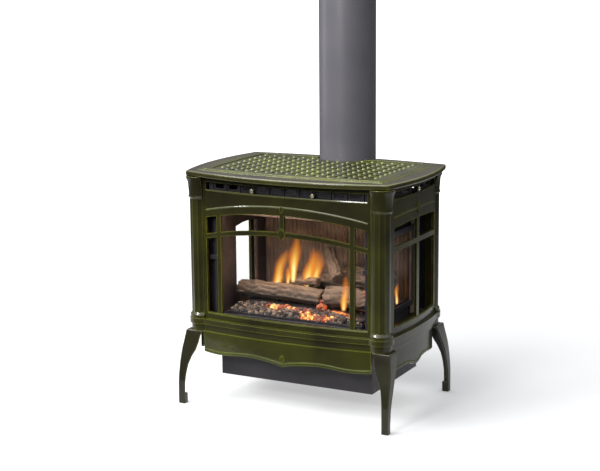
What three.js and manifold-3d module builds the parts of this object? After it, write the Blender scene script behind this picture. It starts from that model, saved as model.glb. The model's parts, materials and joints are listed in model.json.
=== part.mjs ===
// Direct-vent gas stove: enamelled cast-iron body, three-sided glazed firebox and co-axial vent pipe.
// Millimetres, +Z up, the front faces -Y. Local Y = 0 is the middle of the body; the whole group is
// moved at the end so that the origin lies on the floor under the middle of the overall box.

import * as THREE from 'three'
import { mergeVertices } from 'three/addons/utils/BufferGeometryUtils.js'
import Module from 'manifold-3d'

const wasm = await Module()
wasm.setup()

// ---------------------------------------------------------------- driving dimensions

const GAP = 0.4                       // clearance kept between neighbouring pieces

// heights of the levels above the floor
const Z_FLANGE_BOTTOM = 215.5         // joint between skirts and hearth flange
const Z_FLANGE_STEP = 236
const Z_HEARTH = 252                  // top of the hearth casting, castings stand on it
const Z_SILL = 272
const Z_SLOT_BOTTOM = 628
const Z_SLOT_TOP = 650
const Z_CASTING_TOP = 663.4
const Z_PLATE_BOTTOM = 664
const Z_PLATE_TOP = 679.5

// body plan
// corner posts: centre, radius, distance of the flat inner faces from the centre, flutes and their depth
const FRONT_POST = { x: 283, y: 166, r: 30, flat: 21, flutes: 6, depth: 2.2 }
const REAR_POST = { x: 288, y: 180, r: 20, flat: 14, flutes: 3, depth: 0 }
const SEAM = 0.6                      // joint between a post and its neighbours
const BOLT_X = 94                     // casting bolts in the front slot
const CASTING_T = 8                   // wall of the front and side castings
const FRONT_Y = 178                   // front casting face at its reference half width
const FRONT_BOW = 26
const FRONT_REF = 300                 // half width at which the bow starts
const SIDE_X = 304                    // side casting face at its ends
const SIDE_BOW = 12
const FRONT_HALF = FRONT_POST.x - FRONT_POST.flat - SEAM
const SIDE_Y0 = -FRONT_POST.y + FRONT_POST.flat + SEAM
const SIDE_Y1 = REAR_POST.y - REAR_POST.flat - SEAM
const SIDE_MID = (SIDE_Y0 + SIDE_Y1) / 2
const SIDE_HALF = (SIDE_Y1 - SIDE_Y0) / 2

// top plate
const PLATE = { x: 316, front: 193, back: 219, bowFront: 50, bowSide: 26, bowBack: 21, r: 9 }
const GRILLE = { x: 260, front: 140, back: 172, bowFront: 22, bowSide: 8, bowBack: 0, r: 6 }
const GRILLE_PITCH = 32
const DIAMOND = 11.5                  // half diagonal of a lattice hole
const PLATE_LEDGE = 7

// legs: height, then the outer and inner limit of the section in x and in y
const LEG = [
  [0, 332, 311.5, 229, 209.5],
  [30, 332, 311.5, 229, 209.5],
  [65, 332, 311, 228, 206],
  [90, 332, 309, 224.5, 199],
  [117, 331.8, 304.5, 219, 189],
  [140, 331.3, 296, 213, 180],
  [160, 330, 285, 207.5, 169],
  [180, 327, 279, 202.5, 159],
  [198, 324, 275.5, 198.5, 150],
  [Z_FLANGE_BOTTOM - GAP, 321.5, 268, 195, 140],
]
const LEG_WALL = 5.5
const LEG_SOLE = 30                   // the leg is solid below this height

// firebox shell
const BOX_X = 250
const BOX_FLANGE_X = 261.5            // half width over the flanges at the front of the firebox
const BOX_Y = 150
const BOX_T = 4
const BOX_TOP = 604
const FIRE_SIDE = { y0: -28, y1: 100, z0: 300, z1: 500 }
const FIRE_FRONT_X = 237              // half width of the front opening
const OUTLET_X = 70                   // flue outlet in the rear wall
const OUTLET_Z0 = 520
const OUTLET_Z1 = 590
const GLASS_T = 4

// valve box under the hearth
const VALVE = { x: 241, y0: -131, y1: 181, z0: 75.5, z1: 214.8, t: 3 }

// vent
const PIPE_Y = 218
const PIPE_R = 84.15                  // 6 5/8 in outer pipe
const PIPE_WALL = 1.6
const FLUE_R = 50.8                   // 4 in inner flue
const PIPE_BOTTOM = 646
const PIPE_TOP = 1280
const NOTCH_R = 88
const FLUE_BOX = { x: 92, y0: 152.5, y1: 308, z0: 470, z1: 645.5, t: 3 }

// ---------------------------------------------------------------- materials

function material(color, roughness, metalness = 0) {
  return new THREE.MeshStandardMaterial({ color, roughness, metalness })
}

const enamel = () => material(0x333a1c, 0.22)
const blackSteel = () => material(0x1d1c1d, 0.55, 0.4)
const pipeSteel = () => material(0x55535a, 0.4, 0.5)
const glassPane = () => material(0x9fb0ac, 0.05)
const ceramicLog = () => material(0x5b4434, 0.95)
const refractory = () => material(0x3a332e, 0.9)
const brightSteel = () => material(0xa8a8a4, 0.35, 0.9)
const brassFitting = () => material(0xb59445, 0.35, 0.9)
const plasticBlack = () => material(0x141414, 0.5)

// ---------------------------------------------------------------- solids

function toSolid(geometry) {
  const bare = geometry.clone()
  for (const name of Object.keys(bare.attributes)) {
    if (name !== 'position') bare.deleteAttribute(name)
  }
  const merged = mergeVertices(bare, 1e-4)
  const mesh = new wasm.Mesh({
    numProp: 3,
    vertProperties: new Float32Array(merged.attributes.position.array),
    triVerts: new Uint32Array(merged.index.array),
  })
  return new wasm.Manifold(mesh)
}

function toGeometry(solid) {
  const mesh = solid.getMesh()
  const geometry = new THREE.BufferGeometry()
  geometry.setAttribute('position', new THREE.BufferAttribute(new Float32Array(mesh.vertProperties), 3))
  geometry.setIndex(new THREE.BufferAttribute(new Uint32Array(mesh.triVerts), 1))
  geometry.computeVertexNormals()
  return geometry
}

const join = (first, ...rest) => rest.reduce((sum, part) => sum.add(part), first)
const cut = (first, ...rest) => rest.reduce((sum, part) => sum.subtract(part), first)

// A block between two opposite corners.
function block(x0, x1, y0, y1, z0, z1) {
  const geometry = new THREE.BoxGeometry(x1 - x0, y1 - y0, z1 - z0)
  geometry.translate((x0 + x1) / 2, (y0 + y1) / 2, (z0 + z1) / 2)
  return toSolid(geometry)
}

// A plan shape (x, y) raised from z0 to z1.
function prismZ(shape, z0, z1, curveSegments = 8) {
  const geometry = new THREE.ExtrudeGeometry(shape, { depth: z1 - z0, bevelEnabled: false, curveSegments })
  geometry.translate(0, 0, z0)
  return toSolid(geometry)
}

// A front-view shape (x, z) carried from y0 to y1.
function prismY(shape, y0, y1, curveSegments = 8) {
  const geometry = new THREE.ExtrudeGeometry(shape, { depth: y1 - y0, bevelEnabled: false, curveSegments })
  geometry.rotateX(Math.PI / 2)
  geometry.translate(0, y1, 0)
  return toSolid(geometry)
}

// A side-view shape (y, z) carried from x0 to x1.
function prismX(shape, x0, x1, curveSegments = 8) {
  const geometry = new THREE.ExtrudeGeometry(shape, { depth: x1 - x0, bevelEnabled: false, curveSegments })
  const axes = new THREE.Matrix4().makeBasis(
    new THREE.Vector3(0, 1, 0), new THREE.Vector3(0, 0, 1), new THREE.Vector3(1, 0, 0))
  geometry.applyMatrix4(axes)
  geometry.translate(x0, 0, 0)
  return toSolid(geometry)
}

// A turned piece about a vertical axis; profile points are [radius, z].
function turnedZ(profile, x, y, segments = 20) {
  const geometry = new THREE.LatheGeometry(profile.map(([r, z]) => new THREE.Vector2(r, z)), segments)
  geometry.rotateX(Math.PI / 2)
  geometry.translate(x, y, 0)
  return toSolid(geometry)
}

// A turned piece about any axis from start along direction; profile points are [radius, distance].
function turned(profile, start, direction, segments = 16) {
  const geometry = new THREE.LatheGeometry(profile.map(([r, d]) => new THREE.Vector2(r, d)), segments)
  const turn = new THREE.Quaternion().setFromUnitVectors(
    new THREE.Vector3(0, 1, 0), new THREE.Vector3(...direction).normalize())
  geometry.applyQuaternion(turn)
  geometry.translate(...start)
  return toSolid(geometry)
}

// A plain disc or rod with square ends.
function rod(radius, length, start, direction, segments = 16) {
  return turned([[0, 0], [radius, 0], [radius, length], [0, length]], start, direction, segments)
}

function polygon(points) {
  return new THREE.Shape(points.map(([a, b]) => new THREE.Vector2(a, b)))
}

function circleShape(radius, sides) {
  const points = []
  for (let i = 0; i < sides; i++) {
    const angle = (2 * Math.PI * i) / sides
    points.push([radius * Math.cos(angle), radius * Math.sin(angle)])
  }
  return polygon(points)
}

// A round bar swept along a list of points.
function bar(points, radius, sides = 5, steps = points.length - 1) {
  const path = new THREE.CatmullRomCurve3(points.map((p) => new THREE.Vector3(...p)))
  const shape = circleShape(radius, sides)
  return toSolid(new THREE.ExtrudeGeometry(shape, { steps, extrudePath: path, bevelEnabled: false }))
}

// The mirror image of a geometry across the plane X = 0 or Y = 0, its faces still pointing out.
function mirrored(geometry, axis) {
  const copy = geometry.clone()
  copy.scale(axis === 'x' ? -1 : 1, axis === 'y' ? -1 : 1, 1)
  const index = copy.index.array
  for (let i = 0; i < index.length; i += 3) {
    const first = index[i]
    index[i] = index[i + 1]
    index[i + 1] = first
  }
  copy.computeVertexNormals()
  return copy
}

// The same solid at the other end of the body, front for rear.
const flipped = (solid) => toSolid(mirrored(toGeometry(solid), 'y'))

// ---------------------------------------------------------------- plan outlines

// A rounded rectangle whose sides bow outwards. Each side is a parabola of `steps` chords, each corner an arc.
function bowedOutline({ x, front, back, bowFront, bowSide, bowBack, r }, steps = 8) {
  const points = []
  const cornerSteps = 3
  const side = (x0, y0, x1, y1, bow) => {
    const length = Math.hypot(x1 - x0, y1 - y0)
    const out = [(y1 - y0) / length, -(x1 - x0) / length]
    const count = bow > 0 ? steps : 1
    for (let i = 0; i < count; i++) {
      const t = i / count
      const rise = 4 * bow * t * (1 - t)
      points.push([x0 + (x1 - x0) * t + out[0] * rise, y0 + (y1 - y0) * t + out[1] * rise])
    }
  }
  const corner = (cx, cy, start) => {
    for (let i = 0; i < cornerSteps; i++) {
      const angle = start + (Math.PI / 2) * (i / cornerSteps)
      points.push([cx + r * Math.cos(angle), cy + r * Math.sin(angle)])
    }
  }
  side(-x + r, -front, x - r, -front, bowFront)
  corner(x - r, -front + r, -Math.PI / 2)
  side(x, -front + r, x, back - r, bowSide)
  corner(x - r, back - r, 0)
  side(x - r, back, -x + r, back, bowBack)
  corner(-x + r, back - r, Math.PI / 2)
  side(-x, back - r, -x, -front + r, bowSide)
  corner(-x + r, -front + r, Math.PI)
  return polygon(points)
}

const grow = (plan, by) => ({ ...plan, x: plan.x + by, front: plan.front + by, back: plan.back + by })

// Distance of the front face from the middle of the body at a given x.
const frontFace = (x) => FRONT_Y + FRONT_BOW * (1 - (x / FRONT_REF) ** 2)

// Distance of the side face from the middle of the body at a given y.
const sideFace = (y) => SIDE_X + SIDE_BOW * (1 - ((y - SIDE_MID) / SIDE_HALF) ** 2)

// A bowed wall standing along the front: its outer face follows frontFace, moved out by `proud`.
function frontWall(half, thickness, z0, z1, proud = 0) {
  const end = frontFace(half) + proud
  const middle = 2 * (frontFace(0) + proud) - end
  const shape = new THREE.Shape()
  shape.moveTo(-half, -end)
  shape.quadraticCurveTo(0, -middle, half, -end)
  shape.lineTo(half, -end + thickness)
  shape.quadraticCurveTo(0, -middle + thickness, -half, -end + thickness)
  return prismZ(shape, z0, z1, 12)
}

// The same along the right-hand side, from y0 to y1.
function sideWall(y0, y1, thickness, z0, z1, proud = 0) {
  const middle = (y0 + y1) / 2
  const near = sideFace(y0) + proud
  const far = sideFace(y1) + proud
  const control = 2 * (sideFace(middle) + proud) - (near + far) / 2
  const shape = new THREE.Shape()
  shape.moveTo(near, y0)
  shape.quadraticCurveTo(control, middle, far, y1)
  shape.lineTo(far - thickness, y1)
  shape.quadraticCurveTo(control - thickness, middle, near - thickness, y0)
  return prismZ(shape, z0, z1, 8)
}

// ---------------------------------------------------------------- window tracery

// Heights that arch across a face: `peak` at `middle`, falling by `drop` at `half` to either side.
const arch = (peak, drop, half, middle = 0) => (u) => peak - drop * ((u - middle) / half) ** 2
const level = (z) => () => z

// A pane between u0 and u1, bounded below and above by two height curves.
function pane(u0, u1, low, high) {
  const steps = Math.ceil((u1 - u0) / 50)
  const points = []
  for (let i = 0; i <= steps; i++) {
    const u = u0 + ((u1 - u0) * i) / steps
    points.push([u, low(u)])
  }
  for (let i = steps; i >= 0; i--) {
    const u = u0 + ((u1 - u0) * i) / steps
    points.push([u, high(u)])
  }
  return polygon(points.filter(([u, z], i) => i === 0 || u !== points[i - 1][0] || z !== points[i - 1][1]))
}

// A round relief bar following a height curve across the front face.
function frontBead(half, height, radius, steps = 12) {
  const points = []
  for (let i = 0; i <= steps; i++) {
    const x = -half + (2 * half * i) / steps
    points.push([x, -frontFace(x) + 0.6, height(x)])
  }
  return bar(points, radius)
}

function sideBead(half, height, radius, steps = 6) {
  const points = []
  for (let i = 0; i <= steps; i++) {
    const y = SIDE_MID - half + (2 * half * i) / steps
    points.push([sideFace(y) - 0.6, y, height(y)])
  }
  return bar(points, radius)
}

// A leaf or shield outline, pointed below, centred on (u, z).
function leaf(u, z, width, height) {
  const shape = new THREE.Shape()
  shape.moveTo(u, z - height / 2)
  shape.quadraticCurveTo(u + 0.75 * width, z - 0.1 * height, u + 0.3 * width, z + 0.3 * height)
  shape.quadraticCurveTo(u + 0.1 * width, z + 0.28 * height, u, z + height / 2)
  shape.quadraticCurveTo(u - 0.1 * width, z + 0.28 * height, u - 0.3 * width, z + 0.3 * height)
  shape.quadraticCurveTo(u - 0.75 * width, z - 0.1 * height, u, z - height / 2)
  return shape
}

// ---------------------------------------------------------------- front and side castings

const WINDOW_X = 252                  // half width of the front window
const WINDOW_Y = 142                  // half width of the side window
const STILE_X = 208                   // centre of the front's upright glazing bars
const STILE_HALF = 7
const MUNTIN_HALF = 8                 // the upright bar of a side window
const barTop = arch(528, 28, WINDOW_X)
const barBottom = arch(515, 28, WINDOW_X)
const windowTop = arch(574.5, 26, WINDOW_X)
const reliefLine = arch(597.5, 28, WINDOW_X)

const sideBarTop = arch(503, 5, WINDOW_Y, SIDE_MID)
const sideBarBottom = arch(490, 5, WINDOW_Y, SIDE_MID)
const sideWindowTop = arch(560, 8, WINDOW_Y, SIDE_MID)
const sideReliefLine = arch(588, 7, WINDOW_Y, SIDE_MID)

function frontCasting() {
  const deep = [-260, -120]
  const inner = STILE_X - STILE_HALF
  const outer = STILE_X + STILE_HALF
  const openings = [
    pane(-inner, inner, level(Z_SILL), barBottom),
    pane(-inner, -STILE_HALF, barTop, windowTop),
    pane(STILE_HALF, inner, barTop, windowTop),
  ]
  for (const side of [-1, 1]) {
    const [u0, u1] = side > 0 ? [outer, WINDOW_X] : [-WINDOW_X, -outer]
    openings.push(pane(u0, u1, level(Z_SILL), barBottom), pane(u0, u1, barTop, windowTop))
  }
  let body = frontWall(FRONT_HALF, CASTING_T, Z_HEARTH + GAP, Z_CASTING_TOP)
  for (const shape of openings) body = body.subtract(prismY(shape, ...deep))
  body = body.subtract(block(-WINDOW_X, WINDOW_X, -260, -120, Z_SLOT_BOTTOM, Z_SLOT_TOP))
  const boss = prismY(leaf(0, 523, 24, 34), -frontFace(0) - 3, -frontFace(0) + 4, 3)
  const crown = prismY(leaf(0, 592, 12, 22), -frontFace(0) - 2.5, -frontFace(0) + 4, 3)
  return join(
    body,
    frontBead(WINDOW_X - 1, level(Z_SLOT_BOTTOM - 1.5), 2.6, 12),
    frontBead(WINDOW_X - 1, reliefLine, 2.4),
    frontBead(WINDOW_X - 1, level(Z_SILL - 2), 2.6, 12),
    boss,
    crown,
  )
}

function sideCasting() {
  const deep = [260, 330]
  const spans = [[SIDE_MID - WINDOW_Y, SIDE_MID - MUNTIN_HALF], [SIDE_MID + MUNTIN_HALF, SIDE_MID + WINDOW_Y]]
  let body = sideWall(SIDE_Y0, SIDE_Y1, CASTING_T, Z_HEARTH + GAP, Z_CASTING_TOP)
  for (const [y0, y1] of spans) {
    body = cut(
      body,
      prismX(pane(y0, y1, level(Z_SILL + 6), sideBarBottom), ...deep),
      prismX(pane(y0, y1, sideBarTop, sideWindowTop), ...deep),
      block(...deep, y0, y1, Z_SLOT_BOTTOM + 2, Z_SLOT_TOP),
    )
  }
  const face = sideFace(SIDE_MID)
  const ornament = prismX(leaf(SIDE_MID, 588, 22, 36), face - 4, face + 3, 3)
  return join(
    body,
    sideBead(WINDOW_Y, sideReliefLine, 2.2),
    sideBead(WINDOW_Y, level(Z_SILL + 4), 2.4),
    ornament,
  )
}

// ---------------------------------------------------------------- corner posts and legs

// A front right post: a column with two flat inner faces, a stepped capital and a plinth.
function cornerPost({ x, y, r, flat, flutes, depth }) {
  const perFlute = 3
  const spread = Math.asin(flat / r)
  const sweep = Math.PI / 2 + 2 * spread
  const points = [[x - flat, flat - y]]
  for (let i = 0; i <= flutes * perFlute; i++) {
    const t = i / (flutes * perFlute)
    const radius = r - depth * Math.sin(Math.PI * flutes * t) ** 2
    const angle = -Math.PI / 2 - spread + sweep * t
    points.push([x + radius * Math.cos(angle), radius * Math.sin(angle) - y])
  }
  const shaft = prismZ(polygon(points), Z_HEARTH + GAP, Z_CASTING_TOP)
  const capital = turnedZ([
    [0, 598], [r - 2, 598], [r + 3, 604], [r + 1, 611], [r + 3.5, 645],
    [r + 8, 656], [r + 8.5, Z_CASTING_TOP], [0, Z_CASTING_TOP],
  ], x, -y, 18)
  const foot = Z_HEARTH + GAP
  const plinth = turnedZ([[0, foot], [r + 4, foot], [r + 4, 261], [r - 2, 270], [0, 270]], x, -y, 18)
  const outward = block(x - flat, x + 60, -y - 60, -y + flat, 240, 680)
  return join(shaft, join(capital, plinth).intersect(outward))
}

// Rear right leg: its front and side views crossed, hollowed from the inside above the toe.
function leg() {
  const view = (outer, inner) => polygon([
    ...LEG.map((row) => [row[outer], row[0]]),
    ...LEG.map((row) => [row[inner], row[0]]).reverse(),
  ])
  const solid = prismY(view(1, 2), 100, 260).intersect(prismX(view(3, 4), 200, 360))
  const inside = block(150, 400, 100, 300, LEG_SOLE, 260)
  const hollow = solid.translate([-LEG_WALL, -LEG_WALL, -LEG_WALL]).intersect(inside)
  return cut(solid, hollow)
}

// ---------------------------------------------------------------- hearth, skirts and top

function hearth() {
  const plan = { x: 312, front: 187, back: 200, bowFront: 27, bowSide: 14, bowBack: 8, r: 10 }
  const corners = (radius, z0, z1) => [-1, 1].flatMap((sx) => [-1, 1].map((sy) =>
    turnedZ([[0, z0], [radius, z0], [radius, z1], [0, z1]], sx * FRONT_POST.x, sy * FRONT_POST.y, 16)))
  const fascia = join(prismZ(bowedOutline(grow(plan, -5)), Z_FLANGE_BOTTOM, Z_FLANGE_STEP),
    ...corners(31, Z_FLANGE_BOTTOM, Z_FLANGE_STEP))
  const lip = join(prismZ(bowedOutline(plan), Z_FLANGE_STEP, Z_HEARTH),
    ...corners(36, Z_FLANGE_STEP, Z_HEARTH))
  const pocket = prismZ(bowedOutline(grow(plan, -22)), Z_FLANGE_BOTTOM - 1, Z_HEARTH - 7)
  const pillars = join(...corners(26, Z_FLANGE_BOTTOM, Z_HEARTH - 7))
  const burnerHole = block(-130, 130, -60, 60, Z_HEARTH - 20, Z_HEARTH + 1)
  return cut(join(fascia, lip).subtract(pocket).add(pillars), burnerHole)
}

const skirtEdge = (u) => 155 - 4 * Math.cos((2 * Math.PI * u) / 215) - 6 * Math.exp(-((u / 17) ** 2))

// A skirt's outline: straight top, scalloped lower edge with a small drop in the middle.
function skirtShape(half, top, edge) {
  const steps = 28
  const points = [[half, top], [-half, top]]
  for (let i = 0; i <= steps; i++) {
    const u = -half + (2 * half * i) / steps
    points.push([u, edge(u)])
  }
  return polygon(points)
}

function frontSkirt() {
  const half = 264
  const wall = frontWall(half, 7, 120, Z_FLANGE_BOTTOM - GAP, 6)
  const outline = prismY(skirtShape(half + 1, 230, skirtEdge), -260, -140, 1)
  const points = []
  for (let i = 0; i <= 24; i++) {
    const x = -half + 3 + (2 * (half - 3) * i) / 24
    points.push([x, -frontFace(x) - 5.4, skirtEdge(x) + 8])
  }
  const badge = prismY(leaf(0, 167, 14, 26), -frontFace(0) - 8.5, -frontFace(0), 3)
  return join(wall.intersect(outline), bar(points, 1.8), badge)
}

const sideSkirtEdge = (u) => 153 - 2 * Math.cos((2 * Math.PI * u) / 140) - 9 * Math.exp(-((u / 30) ** 4))

function sideSkirt() {
  const half = 138
  const wall = sideWall(-half, half, 7, 120, Z_FLANGE_BOTTOM - GAP, 1)
  const outline = prismX(skirtShape(half + 1, 230, sideSkirtEdge), 250, 340, 1)
  const points = []
  for (let i = 0; i <= 16; i++) {
    const y = -half + 3 + (2 * (half - 3) * i) / 16
    points.push([sideFace(y) + 0.4, y, sideSkirtEdge(y) + 8])
  }
  return join(wall.intersect(outline), bar(points, 1.8))
}

function topPlate() {
  const bevel = 5
  const geometry = new THREE.ExtrudeGeometry(bowedOutline(PLATE), {
    depth: Z_PLATE_TOP - Z_PLATE_BOTTOM - 2 * bevel,
    bevelThickness: bevel, bevelSize: bevel, bevelOffset: -bevel, bevelSegments: 3, curveSegments: 9,
  })
  geometry.translate(0, 0, Z_PLATE_BOTTOM + bevel)
  const plate = toSolid(geometry)
  const steps = join(
    prismZ(bowedOutline(grow(GRILLE, 30)), Z_PLATE_TOP - 4, Z_PLATE_TOP + 1.8),
    prismZ(bowedOutline(grow(GRILLE, 18)), Z_PLATE_TOP - 4, Z_PLATE_TOP + 3.6),
  )
  return cut(
    join(plate, steps),
    prismZ(bowedOutline(GRILLE), Z_PLATE_TOP - 6.5, Z_PLATE_TOP + 10),
    prismZ(bowedOutline(grow(GRILLE, -PLATE_LEDGE)), Z_PLATE_BOTTOM - 5, Z_PLATE_TOP + 10),
    turnedZ([[0, 640], [NOTCH_R, 640], [NOTCH_R, 700], [0, 700]], 0, PIPE_Y, 40),
    block(-NOTCH_R, NOTCH_R, PIPE_Y, 300, 640, 700),
  )
}

function topGrille() {
  const shape = bowedOutline(grow(GRILLE, -0.8))
  const columns = Math.floor((GRILLE.x - 12) / GRILLE_PITCH)
  for (let i = -columns; i <= columns; i++) {
    const x = i * GRILLE_PITCH
    for (let j = -6; j <= 6; j++) {
      const y = 4 + j * GRILLE_PITCH
      const frontLimit = -GRILLE.front - GRILLE.bowFront * (1 - (x / GRILLE.x) ** 2) + 13
      const clearOfPipe = Math.hypot(x, y - PIPE_Y) > NOTCH_R + 18
      if (y - DIAMOND < frontLimit || y + DIAMOND > GRILLE.back - 6 || !clearOfPipe) continue
      const hole = new THREE.Path()
      hole.moveTo(x - DIAMOND, y)
      hole.lineTo(x, y + DIAMOND)
      hole.lineTo(x + DIAMOND, y)
      hole.lineTo(x, y - DIAMOND)
      hole.closePath()
      shape.holes.push(hole)
    }
  }
  const lattice = prismZ(shape, Z_PLATE_TOP - 6.1, Z_PLATE_TOP + 1.2, 8)
  return cut(lattice, turnedZ([[0, 640], [NOTCH_R, 640], [NOTCH_R, 700], [0, 700]], 0, PIPE_Y, 40))
}

// ---------------------------------------------------------------- louvres and casting bolts

function frontLouvre() {
  const back = frontWall(248, 2, Z_SLOT_BOTTOM - 8, Z_SLOT_TOP + 6, -15)
  const pitch = BOLT_X / 2
  const ribs = []
  const vents = []
  for (let i = -5; i <= 5; i++) {
    const x = i * pitch
    const face = -frontFace(x)
    ribs.push(block(x - 2.5, x + 2.5, face + 11, face + 16.5, Z_SLOT_BOTTOM - 6, Z_SLOT_TOP + 4))
    if (i < 5) vents.push(block(x + 9, x + pitch - 9, -210, -150, 633, 646))
  }
  return cut(join(back, ...ribs), ...vents)
}

function sideLouvre() {
  const half = 138
  const pitch = 52
  const back = sideWall(SIDE_MID - half, SIDE_MID + half, 2, Z_SLOT_BOTTOM - 6, Z_SLOT_TOP + 6, -12)
  const vents = []
  for (let i = -2; i <= 2; i++) {
    const y = SIDE_MID + i * pitch
    vents.push(block(260, 320, y - 18, y + 18, 635, 647))
  }
  return cut(back, ...vents)
}

// A round bolt head on a short shank; `direction` points out of the casting.
function castingBolt(start, direction, shank) {
  const head = [[6.5, shank], [6.5, shank + 2.4], [4.6, shank + 4.4], [0, shank + 5]]
  return turned([[0, 0], [2.5, 0], [2.5, shank], ...head], start, direction, 12)
}

// ---------------------------------------------------------------- firebox and glass

function firebox() {
  const z0 = Z_HEARTH + GAP
  const flanges = block(-BOX_FLANGE_X, BOX_FLANGE_X, -BOX_Y, -BOX_Y + 2.5, 258, 600)
  const shell = cut(
    join(block(-BOX_X, BOX_X, -BOX_Y, BOX_Y, z0, BOX_TOP), flanges),
    block(-BOX_X + BOX_T, BOX_X - BOX_T, -BOX_Y + BOX_T, BOX_Y - BOX_T, z0 + BOX_T, BOX_TOP - BOX_T),
  )
  const { y0, y1 } = FIRE_SIDE
  const side = pane(y0, y1, level(FIRE_SIDE.z0), arch(FIRE_SIDE.z1, 6, (y1 - y0) / 2, (y0 + y1) / 2))
  return cut(
    shell,
    block(-FIRE_FRONT_X, FIRE_FRONT_X, -BOX_Y - 5, -BOX_Y + 20, 264, 584),
    prismX(side, -BOX_X - 5, BOX_X + 5),
    block(-OUTLET_X, OUTLET_X, BOX_Y - 10, BOX_Y + 5, OUTLET_Z0, OUTLET_Z1),
    block(-100, 100, -45, 45, z0 - 5, z0 + 10),
  )
}

const FRAME_Y = -BOX_Y - GAP          // back face of the front glass frame
const FRAME_T = 12

function glassFrame() {
  return cut(
    block(-240, 240, FRAME_Y - FRAME_T, FRAME_Y, 256, 596),
    block(-234, 234, FRAME_Y - FRAME_T - 1, FRAME_Y + 1, 266, 582),
    block(-237.5, 237.5, FRAME_Y - 7, FRAME_Y + 1, 261, 588),
  )
}

const frontGlass = () => block(-237, 237, FRAME_Y - 6.6, FRAME_Y - 6.6 + GLASS_T, 261.5, 587.5)

// The right-hand pane lies on the outside of the firebox wall, in a shallow clip frame.
function sideGlass() {
  const x = BOX_X + GAP
  return block(x, x + GLASS_T, FIRE_SIDE.y0 - 10, FIRE_SIDE.y1 + 10, FIRE_SIDE.z0 - 10, FIRE_SIDE.z1 + 10)
}

function sideGlassFrame() {
  const x = BOX_X + GAP
  const { y0, y1, z0, z1 } = FIRE_SIDE
  const rim = block(x, x + GLASS_T + 4, y0 - 18, y1 + 18, z0 - 18, z1 + 18)
  return cut(
    rim,
    block(x - 1, x + GLASS_T + GAP, y0 - 10.5, y1 + 10.5, z0 - 10.5, z1 + 10.5),
    block(x - 1, x + 20, y0 - 2, y1 + 2, z0 - 2, z1 + 2),
  )
}

// Right-hand toggle latch of the glass frame: a hub beside the frame and a finger laid over its edge.
const LATCH = { x: 247, z: 430 }

function glassLatch() {
  const y = -BOX_Y - GAP
  const hub = rod(5.5, 18, [LATCH.x, y, LATCH.z], [0, -1, 0], 14)
  const finger = block(LATCH.x - 19, LATCH.x + 4, y - 18, y - FRAME_T - GAP, LATCH.z - 6, LATCH.z + 6)
  return join(hub, finger)
}

function refractoryPanel() {
  const y = BOX_Y - BOX_T - GAP
  const panel = block(-236, 236, y - 16, y, Z_HEARTH + 5.5, 508)
  const joints = []
  for (let row = 0; row < 4; row++) {
    const z = 300 + 52 * row
    joints.push(block(-240, 240, y - 17, y - 14, z, z + 3))
    for (let x = -180 + (row % 2) * 60; x < 236; x += 120) {
      joints.push(block(x, x + 3, y - 17, y - 14, z + 2, z + 53))
    }
  }
  return cut(panel, ...joints)
}

// A deflector plate bolted under the roof of the firebox, sloping up towards the outlet.
function baffle() {
  const section = polygon([[-110, 552], [-110, 548], [60, 566], [100, 566], [100, 570], [58, 570]])
  const plate = prismX(section, -210, 210)
  const hangers = [-1, 1].map((s) => block(s * 150 - 8, s * 150 + 8, 62, 66, 569, BOX_TOP - BOX_T - GAP))
  return join(plate, ...hangers)
}

// ---------------------------------------------------------------- burner, embers and logs

const PAN_Z = Z_HEARTH + GAP + BOX_T + GAP
const TRAY_Z = PAN_Z + 12             // top of the tray in the burner pan

function burnerPan() {
  const pan = cut(
    block(-215, 215, -144, 84, PAN_Z, PAN_Z + 14),
    block(-212, 212, -141, 81, PAN_Z + 3, PAN_Z + 50),
    block(-20, 20, -30, 10, PAN_Z - 1, PAN_Z + 6),
  )
  const tray = block(-204, 204, -136, 74, TRAY_Z - 3, TRAY_Z)
  const feet = [-1, 1].map((s) => block(s * 190 - 6, s * 190 + 6, -20, 8, PAN_Z + 2, TRAY_Z - 2))
  return join(pan, tray, ...feet)
}

// The heap of glowing rock wool and lava on the burner tray.
function emberBed() {
  const bottom = TRAY_Z + GAP
  const lengthways = pane(-200, 200, level(bottom), (x) => 287 + 3 * Math.sin(x / 37) - 9 * (x / 200) ** 4)
  const across = pane(-134, 70, level(bottom - 1), (y) => 291 - 17 * ((y + 20) / 114) ** 2)
  return prismY(lengthways, -134, 70).intersect(prismX(across, -205, 205))
}

// Each ceramic log: route of its middle line and radius. Later logs are seated on the earlier ones.
const LOGS = {
  log_front: { route: [[-222, -52, 318], [-80, -60, 321], [60, -72, 319]], radius: 25 },
  log_right: { route: [[72, -60, 322], [140, -74, 330], [222, -84, 324]], radius: 30 },
  log_back: { route: [[-130, 62, 318], [40, 40, 352], [222, 12, 372]], radius: 33 },
  log_leaning: { route: [[92, -40, 372], [64, -10, 402], [34, 24, 440]], radius: 19 },
  log_middle: { route: [[-112, 20, 336], [-50, -6, 344], [22, -22, 352]], radius: 14 },
}

// An uneven round bar along a gentle bend; `extra` makes the slightly larger body that cuts a seat for it.
function log({ route, radius }, extra = 0) {
  const sides = 9
  const path = new THREE.CatmullRomCurve3(route.map((p) => new THREE.Vector3(...p)))
  const outline = []
  for (let i = 0; i < sides; i++) {
    const angle = (2 * Math.PI * i) / sides
    const r = radius * (1 + 0.08 * Math.sin(3 * angle + radius) + 0.04 * Math.cos(5 * angle)) + extra
    outline.push([r * Math.cos(angle), r * Math.sin(angle)])
  }
  const shape = polygon(outline)
  return toSolid(new THREE.ExtrudeGeometry(shape, { steps: 6, extrudePath: path, bevelEnabled: false }))
}

function addLogs() {
  const seats = []
  for (const [name, spec] of Object.entries(LOGS)) {
    addSolid(name, cut(log(spec), ...seats), ceramicLog())
    seats.push(log(spec, 0.8))
  }
}

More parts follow.
